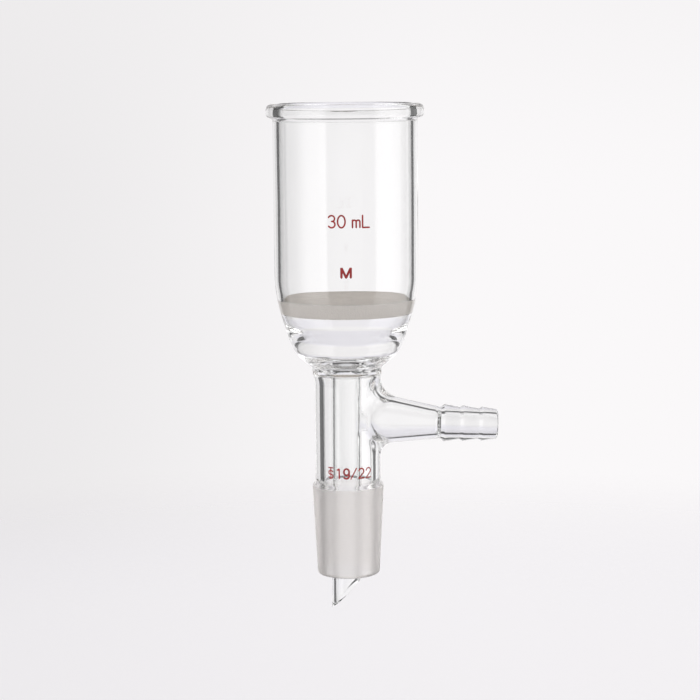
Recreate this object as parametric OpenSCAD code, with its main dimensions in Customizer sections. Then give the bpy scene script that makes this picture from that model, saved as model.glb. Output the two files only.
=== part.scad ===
// A fritted glass filter funnel, blown in one piece with a sintered disc sealed in.
// It stands upright. The origin is on the axis, at the large end of the ground cone,
// and the side arm points along +X. Millimetres.

/* [Cup] */
// Outer radius of the straight wall of the cup
cup_r = 18.85; // [18.2:0.05:20]
// Thickness of the cup wall
cup_wall = 1.65; // [1.2:0.05:2]
// Height of the rim above the large end of the ground cone
rim_z = 101; // [85:0.5:120]
// How far the bead of the rim stands out from the wall
bead_out = 1.65; // [0.8:0.05:2.5]
// Height of the bead of the rim
bead_h = 3.5; // [2.5:0.1:5]

/* [Sintered disc] */
// How far the disc's edge lies inside the bore of the cup
seat_step = 0.8; // [0.2:0.05:1.7]
// Thickness of the sintered disc
disc_t = 4.1; // [3:0.1:5]
// Height of the underside of the disc
disc_z = 46.6; // [45:0.1:50]
// Height over which the cup narrows to the disc
seat_draw = 7.5; // [4:0.1:9]

/* [Bowl] */
// How far above the disc's underside the wall begins to draw in
knee_up = 3.3; // [2.4:0.1:5.4]
// How far the slope draws in before it turns into the bottom of the bowl
bowl_draw = 4.45; // [3.85:0.05:4.85]
// Height of that turn above the ring seal
bowl_rise = 4.8; // [4:0.1:5.5]
// Thickness of the wall of the bowl
bowl_wall = 1.5; // [1.2:0.05:1.8]
// How far the thickened ring stands into the bowl
ring_in = 0.6; // [0:0.1:1]
// Height of that ring
ring_h = 2.4; // [2:0.1:3]

/* [Shank and drip tube] */
// Outer radius of the shank
shank_r = 8.65; // [8.3:0.05:8.9]
// Thickness of the shank wall
shank_wall = 2.3; // [1.8:0.05:2.6]
// Height of the ring seal that joins the bowl, the shank and the drip tube
seal_z = 31.5; // [31:0.1:32.5]
// How far the ring seal stands out from the shank
seal_out = 0.55; // [0.35:0.05:0.95]
// Thickness of the glass that closes the gap between shank and drip tube
seal_t = 1.6; // [1.2:0.1:2]
// Outer radius of the drip tube
drip_r = 4; // [3.6:0.05:4.3]
// Thickness of the wall of the drip tube
drip_wall = 1.35; // [1:0.05:1.5]
// Length of the drip tube below the ground cone
drip_drop = 9.5; // [9:0.1:20]
// Angle of the cut across its end
drip_cut = 45; // [40:1:48]

/* [Ground cone] */
// Diameter of the large end of the ground cone
joint_d = 18.8; // [18.7:0.05:19.2]
// Length of the ground cone
joint_len = 22; // [18:0.5:28]
// Loss of diameter for each millimetre of length
joint_taper = 0.1; // [0.09:0.005:0.11]
// Height over which the shank flares out to the large end
shoulder_h = 3.4; // [2.5:0.1:4]
// Height of the clear lip above the ground zone
lip_h = 0.9; // [0.5:0.1:1.2]
// Height of the foot of the cone under its ground length
joint_foot = 1.4; // [1:0.1:2]
// Rounding of the lower edge of that foot
joint_round = 1.4; // [0.6:0.1:1.6]

/* [Side arm] */
// Height at which the axis of the arm crosses the axis of the funnel
arm_z = 17.85; // [17:0.05:18.4]
// How many degrees the arm droops
arm_droop = 2; // [0:0.5:5]
// Distance along the arm to the neck at which the hose barb begins
neck_x = 24.2; // [22:0.1:28]
// Outer radius at the neck
neck_r = 4.15; // [3.9:0.05:4.4]
// Radius gained for each millimetre from the neck to the shank, on top
flare_top = 0.212; // [0.18:0.002:0.22]
// The same at the sides
flare_side = 0.118; // [0.1:0.002:0.13]
// The same underneath
flare_under = 0.113; // [0.1:0.002:0.15]
// Thickness of the wall of the arm
arm_wall = 1.15; // [0.9:0.05:1.3]
// Radius of the fillet between shank and arm, on top
fillet_top = 5; // [3.5:0.1:5.5]
// The same at the sides
fillet_side = 4; // [2:0.1:5]
// The same underneath
fillet_under = 3.5; // [2.5:0.1:5]
// Radius of the fillet inside, where the arm's hollow opens into the gap, on top
root_top = 6; // [3.5:0.1:6.5]
// The same at the sides
root_side = 4; // [1.5:0.1:5]
// The same underneath
root_under = 2.5; // [0.8:0.1:4]

/* [Hose barb] */
// Radius of the bore of the barb
bore_r = 2.65; // [2.2:0.05:2.8]
// Number of teeth
teeth = 3; // [2:1:4]
// Distance from one tooth to the next
tooth_pitch = 5; // [4:0.1:6]
// Radius at the crest of the first tooth
crest_r = 4.8; // [4.5:0.05:5.2]
// Radius lost from one crest to the next
crest_step = 0.22; // [0:0.02:0.3]
// Length of the steep back of a tooth
tooth_back = 0.95; // [0.7:0.05:1.4]
// Radius gained on the steep back of a tooth
tooth_rise = 0.45; // [0.3:0.05:0.6]

/* [Hidden] */

glass = [0.86, 0.93, 0.93, 0.45];
sinter = [0.8, 0.79, 0.77];

arc_turn = 8;       // most degrees that one step of an arc turns
arc_chord = 2.6;    // and most length of one step
arc_share = 0.49;   // most of a side that one rounding takes
$fn = 120;

cup_bore_r = cup_r - cup_wall;
disc_r = cup_bore_r - seat_step;
disc_top = disc_z + disc_t;
seal_r = shank_r + seal_out;
shank_bore_r = shank_r - shank_wall;
drip_bore_r = drip_r - drip_wall;
joint_r = joint_d / 2;
tip_r = joint_r - joint_taper * joint_len / 2;
joint_end = -joint_len - joint_foot;
tip_z = joint_end - drip_drop;

// Rounded outlines: each corner is [r, z, radius of its rounding].
function unit(v) = v / norm(v);
function at(c) = [c[0], c[1]];
function bend(a, b, c, wish) =
    let (u = unit(a - b), v = unit(c - b))
    let (half = acos(u * v) / 2)
    let (room = arc_share * min(norm(a - b), norm(c - b)))
    let (rad = min(wish, room * tan(half)))
    let (mid = b + unit(u + v) * rad / sin(half))
    let (p = b + u * rad / tan(half) - mid, q = b + v * rad / tan(half) - mid)
    let (start = atan2(p[1], p[0]))
    let (sweep = atan2(p[0] * q[1] - p[1] * q[0], p * q))
    let (by_turn = abs(sweep) / arc_turn, by_chord = abs(sweep) * PI / 180 * rad / arc_chord)
    let (n = ceil(max(by_turn, by_chord)))
    [for (i = [0:n]) mid + rad * [cos(start + sweep * i / n), sin(start + sweep * i / n)]];
function rounded(corners) =
    let (n = len(corners))
    [for (i = [0:n - 1])
        let (b = corners[i], a = corners[(i + n - 1) % n], c = corners[(i + 1) % n])
        each (b[2] > 0 ? bend(at(a), at(b), at(c), b[2]) : [at(b)])];

// Point that lies t inside the corner b of an outline, square to both of its sides.
function inset(a, b, c, t) =
    let (u = unit(a - b), v = unit(c - b))
    b + unit(u + v) * t / sin(acos(u * v) / 2);

knee = [cup_r, disc_z + knee_up];
bowl = [cup_r - bowl_draw, seal_z + bowl_rise];
seal = [seal_r, seal_z];
bowl_in = inset(knee, bowl, seal, bowl_wall);
floor_low = 0.3;        // how far the bowl's floor dips below the ring seal at the drip tube
floor_in = 1.2;         // how far its edge lies inside the ring seal
floor_up = 1.275;       // and above it
drip_flare = 2.6;       // rounding where the bowl runs into the drip tube
floor_round = 6;        // rounding of the floor's edge
ring_round = 4;         // rounding under the thickened ring
ring_top_round = 1;     // rounding above it
ring_left = 0.2;        // share of the ring's depth that is left at its top
seat_hold = 2.8;        // height over which the wall below hugs the disc's edge
seat_in = 0.5;          // how far it comes in over that height
seat_round = 2.2;       // rounding under that
seat_blend = 30;        // rounding where the cup narrows to the seat
rim_round = 1.4;        // rounding of the rim's inner edge

// Inside of the drip tube, the bowl, the seat of the disc and the cup, going up.
inside = [
    [drip_bore_r, tip_z, 0],
    [drip_bore_r, seal_z - floor_low, drip_flare],
    [seal_r - floor_in, seal_z + floor_up, floor_round],
    [bowl_in[0] - ring_in, bowl_in[1] - ring_in, ring_round],
    [bowl_in[0] - ring_in * ring_left, bowl_in[1] - ring_in + ring_h, ring_top_round],
    [disc_r - seat_in, disc_z - seat_hold, seat_round],
    [disc_r, disc_z, 0],
    [disc_r, disc_top, 0],
    [cup_bore_r, disc_top + seat_draw, seat_blend],
    [cup_bore_r, rim_z, rim_round]
];

bead_round = arc_share * bead_h;    // rounding of the bead
bead_fall = 0.3;        // slope under the bead
bead_foot = 0.9;        // rounding where that slope meets the wall
knee_round = 40;        // rounding of the knee under the cup
bowl_round = 15;        // rounding where the slope turns into the bottom
seal_round = 1.2;       // rounding of the upper edge of the ring seal
seal_foot = 2.5;        // rounding of its lower edge
seal_band = 1.3;        // height of the widest part of the ring seal
seal_draw = 3.4;        // height over which it narrows to the shank
shank_round = 8;        // rounding where it reaches the shank
shoulder_round = 1.5;   // rounding of the foot of the shank
lip_round = 0.7;        // rounding of the lip
shank_top = seal_z - seal_band - seal_draw;

// Outside from the rim down to the rounded lower edge of the ground cone.
outside = [
    [cup_r + bead_out, rim_z, bead_round],
    [cup_r + bead_out, rim_z - bead_h, bead_round],
    [cup_r, rim_z - bead_h - bead_fall, bead_foot],
    [knee[0], knee[1], knee_round],
    [bowl[0], bowl[1], bowl_round],
    [seal[0], seal[1], seal_round],
    [seal_r, seal_z - seal_band, seal_foot],
    [shank_r, shank_top, shank_round],
    [shank_r, shoulder_h, shoulder_round],
    [joint_r, lip_h, lip_round],
    [joint_r, 0, 0],
    [tip_r, -joint_len, 0],
    [tip_r - joint_foot * joint_taper / 2, joint_end, joint_round]
];

gap_flare = 0.6;        // how much wider the gap is under the ring seal
gap_mouth = 0.8;        // rounding of the inner edge at the cone's lower end
gap_round = 1.4;        // rounding under the ring seal, at the shank
gap_drip_round = 1.1;   // and at the drip tube
gap_top = seal_z - seal_t;

// Gap between the shank and the drip tube, up to the ring seal, and down the tube.
gap = [
    [shank_bore_r, joint_end, gap_mouth],
    [shank_bore_r, shank_top, shank_round],
    [shank_bore_r + gap_flare, gap_top, gap_round],
    [drip_r, gap_top, gap_drip_round],
    [drip_r, tip_z, 0]
];

// A blended branch off the shank, made of rings round the arm's own axis.
// wall_r is the radius of the shank's surface, and end_x and end_r give the neck's ring.
ring_n = 48;        // points in a ring
blend_n = 6;        // steps of the fillet
sink = 0.15;        // how far the fillet's edge lies under the surface
root_share = 1 / 3; // how deep the branch's root lies in the shank's wall, as a share of it
function share(a, side, top, under) =
    side * pow(cos(a), 2) + (sin(a) > 0 ? top : under) * pow(sin(a), 2);
// Turns a direction of the arm's frame into the funnel's frame.
function drooped(v) = [
    v[0] * cos(arm_droop) + v[2] * sin(arm_droop),
    v[1],
    v[2] * cos(arm_droop) - v[0] * sin(arm_droop)
];
// Point where a generator of the arm meets a cylinder round the funnel's axis.
function on_wall(a, wall_r, end_x, end_r, k) =
    let (base = end_r + k * end_x)
    let (p = cos(arm_droop) - k * sin(a) * sin(arm_droop), q = base * sin(a) * sin(arm_droop))
    let (aa = p * p + pow(k * cos(a), 2))
    let (bb = p * q - base * k * pow(cos(a), 2))
    let (cc = q * q + pow(base * cos(a), 2) - wall_r * wall_r)
    let (x = (sqrt(bb * bb - aa * cc) - bb) / aa)
    drooped([x, (base - k * x) * cos(a), (base - k * x) * sin(a)]);
function bezier(p, q, r, s, t) =
    p * pow(1 - t, 3) + 3 * q * t * pow(1 - t, 2) + 3 * r * t * t * (1 - t) + s * pow(t, 3);
// One line of the branch, from inside the shank's wall to the neck.
function branch_line(a, wall_r, root_r, end_x, end_r, k, rad) =
    let (corner = on_wall(a, wall_r, end_x, end_r, k))
    let (inward = drooped(unit([-1, k * cos(a), k * sin(a)])))
    let (normal = [corner[0], corner[1], 0] / wall_r)
    let (out = drooped([0, cos(a), sin(a)]))
    let (along = unit(out - (out * normal) * normal))
    let (turn = acos(inward * along))
    let (length = rad * tan(turn / 2), handle = rad * 4 / 3 * tan(turn / 4))
    let (psi = atan2(corner[1], corner[0]))
    let (side = along[1] * cos(psi) - along[0] * sin(psi))
    let (edge_psi = psi + side * length / wall_r * 180 / PI)
    let (edge_z = corner[2] + along[2] * length)
    let (edge_r = wall_r + (root_r > wall_r ? sink : -sink))
    let (edge_way = [-sin(edge_psi) * side, cos(edge_psi) * side, along[2]])
    let (edge = [edge_r * cos(edge_psi), edge_r * sin(edge_psi), edge_z])
    let (start = corner - inward * length)
    concat(
        [[root_r * cos(edge_psi), root_r * sin(edge_psi), edge_z]],
        [for (i = [0:blend_n])
            bezier(edge, edge - edge_way * handle, start + inward * handle, start, i / blend_n)],
        [drooped([end_x, end_r * cos(a), end_r * sin(a)])]
    );
module branch(wall_r, root_r, end_x, end_r, ks, rads) {
    lines = [for (i = [0:ring_n - 1])
        let (a = 360 * i / ring_n)
        branch_line(a, wall_r, root_r, end_x, end_r,
            share(a, ks[0], ks[1], ks[2]), share(a, rads[0], rads[1], rads[2]))];
    rows = blend_n + 3;
    hub = ring_n * rows;
    points = concat([for (l = lines) each l], [[root_r, 0, 0]]);
    skin = [for (i = [0:ring_n - 1], j = [0:rows - 2])
        let (n = (i + 1) % ring_n)
        each [
            [i * rows + j, i * rows + j + 1, n * rows + j + 1],
            [i * rows + j, n * rows + j + 1, n * rows + j]
        ]];
    root = [for (i = [0:ring_n - 1]) [hub, i * rows, ((i + 1) % ring_n) * rows]];
    neck = [[for (i = [ring_n - 1:-1:0]) i * rows + rows - 1]];
    translate([0, 0, arm_z]) polyhedron(points, concat(skin, root, neck));
}

// Turns an outline of [distance along the arm, radius] about the arm's axis.
module along_arm() {
    translate([0, 0, arm_z]) rotate([0, 90 + arm_droop, 0]) rotate_extrude() children();
}

lap = 0.6;          // how far the barb's solid reaches into the branch
lap_in = 0.03;      // how far its skin stays inside the branch's at the neck
lap_draw = 0.12;    // and how much it narrows over the lap
lap_hollow = 0.1;   // how far its bore's skin stays inside the hollow's where the two overlap
groove = 0.4;       // length of the groove before the first tooth
groove_round = 0.25;    // rounding at the foot of a tooth
crest_round = 0.4;  // rounding of a crest
bore_lead = 1.2;    // length over which the hollow narrows to the bore
lead_round = 0.5;   // rounding where it begins to narrow
bore_round = 1;     // and where it reaches the bore
tip_round = 0.7;    // rounding of the barb's end
tip_back = 0.9;     // how much shorter than a pitch the last tooth is
tip_in = 0.65;      // how far the end lies inside the last crest
bore_mouth = 0.4;   // depth of the flare at the mouth of the bore
tip_r_out = crest_r - crest_step * (teeth - 1) - tip_in;
function crest(i) = crest_r - crest_step * i;
first_crest = neck_x + groove + tooth_back;
arm_end = first_crest + teeth * tooth_pitch - tip_back;
module barb_outline() {
    teeth_path = [for (i = [0:teeth - 1])
        let (x = first_crest + i * tooth_pitch, foot = i == 0 ? neck_r : crest(i) - tooth_rise)
        each [
            [foot, x - tooth_back, groove_round],
            [crest(i), x, crest_round]
        ]];
    polygon(rounded(concat(
        [
            [0, neck_x - lap, 0],
            [neck_r - lap_in - lap_draw, neck_x - lap, 0],
            [neck_r - lap_in, neck_x, 0]
        ],
        teeth_path,
        [[tip_r_out, arm_end, tip_round], [0, arm_end, 0]]
    )));
}

module bore_outline() {
    hollow_r = neck_r - arm_wall;
    polygon(rounded([
        [0, neck_x - bore_lead - lap, 0],
        [hollow_r - lap_hollow, neck_x - bore_lead - lap, 0],
        [hollow_r, neck_x - bore_lead, lead_round],
        [bore_r, neck_x, bore_round],
        [bore_r, arm_end - bore_mouth, bore_mouth],
        [bore_r + bore_mouth, arm_end, 0],
        [bore_r + bore_mouth, arm_end + lap, 0],
        [0, arm_end + lap, 0]
    ]));
}

module glass_body() {
    cut_long = 4 * drip_r;      // well past the drip tube on every side
    hollow_x = neck_x - bore_lead;
    color(glass) difference() {
        union() {
            rotate_extrude() polygon(rounded(concat(inside, outside, gap)));
            branch(shank_r, shank_r - shank_wall * root_share, neck_x, neck_r,
                [flare_side, flare_top, flare_under], [fillet_side, fillet_top, fillet_under]);
            along_arm() barb_outline();
        }
        branch(shank_bore_r, (shank_bore_r + drip_r) / 2, hollow_x, neck_r - arm_wall,
            [flare_side, flare_top, flare_under], [root_side, root_top, root_under]);
        along_arm() bore_outline();
        // The slanting cut stays inside the gap, so it takes nothing off the cone.
        intersection() {
            translate([-drip_r, 0, tip_z]) rotate([0, -drip_cut, 0])
                translate([-cut_long, -cut_long, -cut_long])
                cube([4 * cut_long, 2 * cut_long, cut_long]);
            translate([0, 0, tip_z - cut_long])
                cylinder(r = (drip_r + shank_bore_r) / 2, h = 3 * cut_long);
        }
    }
}

module fritted_disc() {
    color(sinter) translate([0, 0, disc_z]) cylinder(r = disc_r, h = disc_t);
}

glass_body();
fritted_disc();
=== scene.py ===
"""A fritted glass filter funnel with its studio: blown body, sintered disc and enamel marks.

Lengths in the shape code are millimetres, in the frame of the CAD model, and each mesh is put
into the scene in metres. Every surface is a profile turned about an axis, a grid carried along
a path, or a patch between two rings. Heights are above the large end of the ground cone.
"""

import math
from types import SimpleNamespace

import bpy
import numpy as np
from mathutils import Matrix


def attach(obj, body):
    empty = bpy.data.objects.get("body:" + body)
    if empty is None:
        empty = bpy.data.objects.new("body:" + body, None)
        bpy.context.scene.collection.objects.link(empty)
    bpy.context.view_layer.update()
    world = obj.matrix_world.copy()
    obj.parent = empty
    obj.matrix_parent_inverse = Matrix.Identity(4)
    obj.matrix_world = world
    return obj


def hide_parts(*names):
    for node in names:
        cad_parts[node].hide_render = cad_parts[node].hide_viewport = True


bl_info = {
    "name": "Fritted glass filter funnel",
    "version": (1, 0, 0),
    "blender": (4, 5, 0),
    "location": "View3D > Sidebar > Funnel",
    "description": "Builds a blown filter funnel with a sintered disc, its marks and its studio",
    "category": "Object",
}

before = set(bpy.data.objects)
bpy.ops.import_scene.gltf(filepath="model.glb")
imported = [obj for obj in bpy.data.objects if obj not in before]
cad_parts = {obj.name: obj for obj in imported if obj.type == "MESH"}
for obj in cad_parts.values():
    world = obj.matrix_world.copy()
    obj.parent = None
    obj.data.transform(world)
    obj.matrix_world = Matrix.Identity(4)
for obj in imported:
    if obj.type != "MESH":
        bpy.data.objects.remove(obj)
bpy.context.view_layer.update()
MM = 0.001


# Properties

def length(name, text, value):
    """A length in millimetres, kept as a property in metres."""
    return bpy.props.FloatProperty(
        name=name, description=text, default=value * MM, min=0, unit="LENGTH", precision=5)


def height(name, text, value):
    """A height in millimetres that may be negative, kept as a property in metres."""
    return bpy.props.FloatProperty(
        name=name, description=text, default=value * MM, unit="LENGTH", precision=5)


def share(name, text, value, low=0.0, high=1.0):
    """A plain number."""
    return bpy.props.FloatProperty(
        name=name, description=text, default=value, min=low, max=high)


def angle(name, text, value):
    """An angle in degrees, kept as a property in radians."""
    return bpy.props.FloatProperty(
        name=name, description=text, default=math.radians(value), subtype="ANGLE")


def colour(name, text, value):
    """A colour in linear light."""
    return bpy.props.FloatVectorProperty(
        name=name, description=text, default=value, size=3, min=0, max=1, subtype="COLOR")


class FunnelCup(bpy.types.PropertyGroup):
    """Sizes of the cup, its rim, the disc and the bowl under it."""

    cup_r: length("Cup radius", "Outer radius of the straight wall", 18.85)
    cup_wall: length("Cup wall", "Thickness of the straight wall", 1.65)
    rim_z: height("Rim height", "Height of the rim over the ground cone", 101)
    bead_out: length("Bead", "How far the bead of the rim stands out", 1.65)
    bead_h: length("Bead height", "Height of the bead", 3.5)
    seat_step: length("Seat", "How far the disc's edge lies inside the bore of the cup", 0.6)
    disc_t: length("Disc thickness", "Thickness of the sintered disc", 3.8)
    disc_z: height("Disc height", "Height of the underside of the disc", 46.6)
    seat_draw: length("Seat height", "Height over which the cup narrows to the disc", 3.6)
    knee_up: length("Knee", "How far above the disc's underside the wall begins to draw in", 5)
    bowl_draw: length("Bowl slope", "How far the slope draws in before the bottom", 4.65)
    bowl_rise: length("Bowl turn", "Height of that turn above the ring seal", 4.1)
    bowl_wall: length("Bowl wall", "Thickness of the wall of the bowl", 1.35)
    ring_in: length("Ring", "How far the thickened ring stands into the bowl", 0.3)
    ring_h: length("Ring height", "Height of that ring", 2.8)


class FunnelStem(bpy.types.PropertyGroup):
    """Sizes of the shank, the drip tube, the ring seal and the ground cone."""

    shank_r: length("Shank radius", "Outer radius of the shank", 8.65)
    shank_wall: length("Shank wall", "Thickness of the shank wall", 2.3)
    seal_z: height("Seal height", "Height of the ring seal", 32.2)
    seal_out: length("Seal", "How far the ring seal stands out from the shank", 0.55)
    seal_t: length("Seal thickness", "Glass that closes the gap round the drip tube", 1.2)
    drip_r: length("Drip tube radius", "Outer radius of the drip tube", 4)
    drip_wall: length("Drip tube wall", "Thickness of its wall", 1)
    drip_drop: length("Drip tube length", "How far it reaches below the cone", 9.5)
    drip_cut: angle("Drip tube cut", "Angle of the cut across its end", 45)
    drip_lean: share("Lean", "Sideways shift of the drip tube per length", 0.0058, 0, 0.05)
    joint_d: length("Cone diameter", "Diameter of the large end of the cone", 18.8)
    joint_len: length("Cone length", "Length of the ground zone", 22)
    joint_taper: share("Taper", "Loss of diameter per length", 0.1, 0, 0.5)
    shoulder_h: length("Shoulder", "Height over which the shank flares out", 1.6)
    lip_h: length("Lip", "Height of the clear lip over the ground zone", 0.7)
    joint_foot: length("Foot", "Height of the foot of the cone under its ground length", 1.4)
    joint_round: length("Foot rounding", "Rounding of the lower edge of that foot", 0.65)


class FunnelArm(bpy.types.PropertyGroup):
    """Sizes of the side arm and its hose barb."""

    arm_z: height("Arm height", "Height where its axis crosses the funnel's axis", 17.75)
    droop: angle("Droop", "How far the arm points down", 2)
    neck_x: length("Neck distance", "Distance along the arm to the barb", 24.2)
    neck_r: length("Neck radius", "Outer radius at the neck", 4.2)
    flare_top: share("Flare on top", "Radius gained per length towards the shank", 0.2)
    flare_side: share("Flare at the sides", "Radius gained per length", 0.118)
    flare_under: share("Flare underneath", "Radius gained per length", 0.113)
    wall: length("Arm wall", "Thickness of the wall of the arm", 1.15)
    fillet_top: length("Fillet on top", "Radius between shank and arm", 6)
    fillet_side: length("Fillet at the sides", "Radius between shank and arm", 4)
    fillet_under: length("Fillet underneath", "Radius between shank and arm", 3.5)
    root_top: length("Inner fillet on top", "Radius inside, on top", 5.2)
    root_side: length("Inner fillet at the sides", "Radius inside, at the sides", 2.5)
    root_under: length("Inner fillet underneath", "Radius inside, underneath", 1.2)
    bore_r: length("Bore", "Radius of the bore of the barb", 2.65)
    pitch: length("Tooth pitch", "Distance from tooth to tooth", 5)
    crest_r: length("Crest", "Radius at the crest of the first tooth", 4.95)
    crest_step: length("Crest step", "Radius lost from crest to crest", 0.22)
    tooth_back: length("Tooth back", "Length of the steep back of a tooth", 0.95)
    tooth_rise: length("Tooth rise", "Radius gained on that back", 0.45)
    teeth: bpy.props.IntProperty(
        name="Teeth", description="Number of teeth", default=3, min=1, max=6)


class FunnelMarks(bpy.types.PropertyGroup):
    """The enamel marks on the cup and the shank."""

    volume_z: height("Volume height", "Height of the middle of the volume mark", 71.7)
    volume_h: length("Volume size", "Height of its figures", 3.05)
    grade_z: height("Grade height", "Height of the middle of the grade letter", 58.8)
    grade_h: length("Grade size", "Height of the grade letter", 2.5)
    taper_z: height("Taper height", "Height of the middle of the taper mark", 5.0)
    taper_h: length("Taper size", "Height of its figures", 2.6)
    line: length("Line", "Width of a printed line", 0.42)
    bold: length("Bold line", "Width of the line of the grade letter", 0.6)
    coat: length("Coat", "Thickness of the enamel", 0.035)
    ink: colour("Enamel", "Colour of the enamel", (0.31, 0.014, 0.012))


class FunnelFinish(bpy.types.PropertyGroup):
    """Colours and finishes of the glass and the disc, with the painted shade of the ground zone and
    the painted light on the disc's rim.
    """

    index: share("Refraction", "Index of refraction of the glass", 1.473, 1, 2)
    clear: colour("Clear glass", "Tint of the clear glass", (0.986, 0.988, 0.987))
    ground: colour("Ground glass", "Tint of the ground zone", (0.955, 0.92, 0.894))
    ground_rough: share("Ground roughness", "Roughness of the ground zone", 0.52)
    # Painted light: the disc's rim is painted in this paler colour, from the radius below outwards.
    painted_light: colour("Fused rim", "Colour of the disc's fused rim", (0.86, 0.81, 0.77))
    painted_light_r: length("Rim", "Radius from which the disc is fused", 16.4)
    # Painted shade: a dark tint mixed into the ground zone where it is seen at a slant.
    aslant_shade: colour("Ground aslant", "Tint of the ground zone seen aslant", (0.3, 0.28, 0.26))
    aslant_shade_share: share("Aslant share", "Share of that tint", 0.02)
    sinter: colour("Disc", "Colour of the sintered disc", (0.74, 0.665, 0.6))
    wave: length("Waviness", "How far the blown wall wanders from true", 0.012)


class FunnelStage(bpy.types.PropertyGroup):
    """Camera, floor and light."""

    eye: bpy.props.FloatVectorProperty(
        name="Camera place", description="Where the camera stands", size=3,
        default=(0.0008, -0.515, 0.1093), subtype="TRANSLATION")
    pitch: angle("Camera pitch", "How far the camera looks down", 8.05)
    roll: angle("Camera roll", "How far the camera leans", 0.5)
    lens: share("Lens", "Focal length in millimetres", 101.62, 10, 400)
    floor_z: height("Floor height", "Height of the floor, under the held funnel", -95)
    floor_r: length("Floor radius", "Radius of the floor", 520)
    pale: colour("Backdrop", "Colour of the backdrop at its brightest", (0.956, 0.939, 0.947))
    light: share("Light", "Level of the even light on matt surfaces", 1.0, 0, 4)
    dim: share("Dark", "Level of the dark gaps of the room", 0.08, 0, 1)
    front: share("Front", "Level of the room behind the camera", 0.85, 0, 4)
    panel_left: share("Left panel", "Level of the soft panel on the left", 2.3, 0, 8)
    panel_right: share("Right panel", "Level of the soft panel on the right", 2.25, 0, 8)
    gap_left: angle("Left gap", "How far round the dark gap on the left reaches", 64)
    gap_right: angle("Right gap", "How far round the dark gap on the right reaches", 53)


SETTINGS = {
    "funnel_cup": FunnelCup, "funnel_stem": FunnelStem, "funnel_arm": FunnelArm,
    "funnel_marks": FunnelMarks, "funnel_finish": FunnelFinish, "funnel_stage": FunnelStage,
}


def values(context, name):
    """The settings of one group by name, with every length in millimetres and angle in radians."""
    group = getattr(context.scene, name)
    found = {}
    for prop in group.bl_rna.properties:
        key = prop.identifier
        if key in ("rna_type", "name"):
            continue
        value = getattr(group, key)
        found[key] = value / MM if prop.unit == "LENGTH" and not prop.is_array else value
    return SimpleNamespace(**found)


# Profiles

ARC_TURN = math.radians(7)      # most that one step of an arc turns
ARC_STEP = 1.3                  # and most length of one step
ARC_ROOM = 0.49                 # share of a side that an arc may take
SIDE_STEP = 3.0                 # most length of a step of a straight side
BARB_STEP = 1.6                 # and the same for the barb
FLOOR_IN, FLOOR_UP = 1.2, 1.3   # corner of the bowl's floor, in from the ring seal and over it
MOUTH_LOW = 0.3                 # mouth of the drip tube, under the ring seal
RING_LOST = 0.8                 # share of the bowl's ring that is lost at its top
UNDER_IN, UNDER_LOW = 0.9, 2.8  # corner under the disc, in from its edge and below it
BEAD_DROP = 0.3                 # bead to the corner of the wall under it
SEAL_BAND = 1.1                 # height of the ring seal's outer edge
SHANK_LOW = 4.5                 # ring seal to the full width of the shank
GAP_FLARE = 0.6                 # how much the gap widens up to the ring seal
BARB_LEAD = 0.4                 # neck to the back of the first tooth
BARB_SHORT = 0.9                # how much the last tooth is shorter than a pitch
END_IN = 0.65                   # last crest to the barb's end
CHAMFER = 0.4                   # width and depth of the mouth of the bore
BORE_FLARE = 1.2                # length over which the bore widens to the hollow
NECK_BACK = 1.6                 # barb to the end of the hollow's cone
ROUND = SimpleNamespace(        # roundings of the turned section
    tip=0.28, mouth=2.6, floor=6, ring=8, ring_top=6, under_disc=5, disc=0.1, seat=24, rim=1.4,
    under_bead=0.9, knee=40, bowl=15, seal=1.2, seal_foot=2.5, shank=8, shoulder=0.6, lip=0.4,
    lip_foot=0.25, cone_mouth=0.8, gap=1.4, drip_root=1.1)
BARB_ROUND = SimpleNamespace(   # and of the barb
    foot=0.25, crest=0.4, end=0.7, chamfer=0.15, mouth=0.4, bore=1, flare=0.5)


def unit(v):
    """v divided by its length, along the last axis."""
    return v / np.linalg.norm(v, axis=-1, keepdims=True)


def corner_arc(a, b, c, wish):
    """Arc of radius wish that touches the sides b-a and b-c.

    Its centre lies at b + bisector * r / sin(half the corner's angle), and r is held under
    a share of the shorter side times the tangent of that half angle.
    """
    u, v = unit(a - b), unit(c - b)
    half = math.acos(np.clip(u @ v, -1, 1)) / 2
    room = ARC_ROOM * min(np.linalg.norm(a - b), np.linalg.norm(c - b))
    rad = min(wish, room * math.tan(half))
    mid = b + unit(u + v) * rad / math.sin(half)
    p, q = b + u * rad / math.tan(half) - mid, b + v * rad / math.tan(half) - mid
    sweep = math.atan2(p[0] * q[1] - p[1] * q[0], p @ q)
    steps = max(2, math.ceil(max(abs(sweep) / ARC_TURN, abs(sweep) * rad / ARC_STEP)))
    turn = math.atan2(p[1], p[0]) + sweep * np.linspace(0, 1, steps + 1)
    return mid + rad * np.stack([np.cos(turn), np.sin(turn)], 1)


def rounded(corners, closed=True):
    """One array of points for each corner [r, z, rounding]: its arc, or the corner itself."""
    at = np.array(corners, float)
    n = len(at)
    found = []
    for i in range(n):
        ends = not closed and i in (0, n - 1)
        if at[i, 2] > 0 and not ends:
            found.append(corner_arc(at[i - 1, :2], at[i, :2], at[(i + 1) % n, :2], at[i, 2]))
        else:
            found.append(at[i:i + 1, :2])
    return found


def filled(path, step):
    """path with each side longer than step cut into equal parts no longer than step."""
    side = np.linalg.norm(np.diff(path, axis=0), axis=1)
    parts = np.maximum(np.ceil(side / step).astype(int), 1)
    start = np.concatenate([[0], np.cumsum(side)])
    order = np.arange(parts.sum()) - np.repeat(np.cumsum(parts) - parts, parts)
    at = np.append(np.repeat(start[:-1], parts) + np.repeat(side / parts, parts) * order, start[-1])
    return np.stack([np.interp(at, start, path[:, 0]), np.interp(at, start, path[:, 1])], 1)


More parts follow.
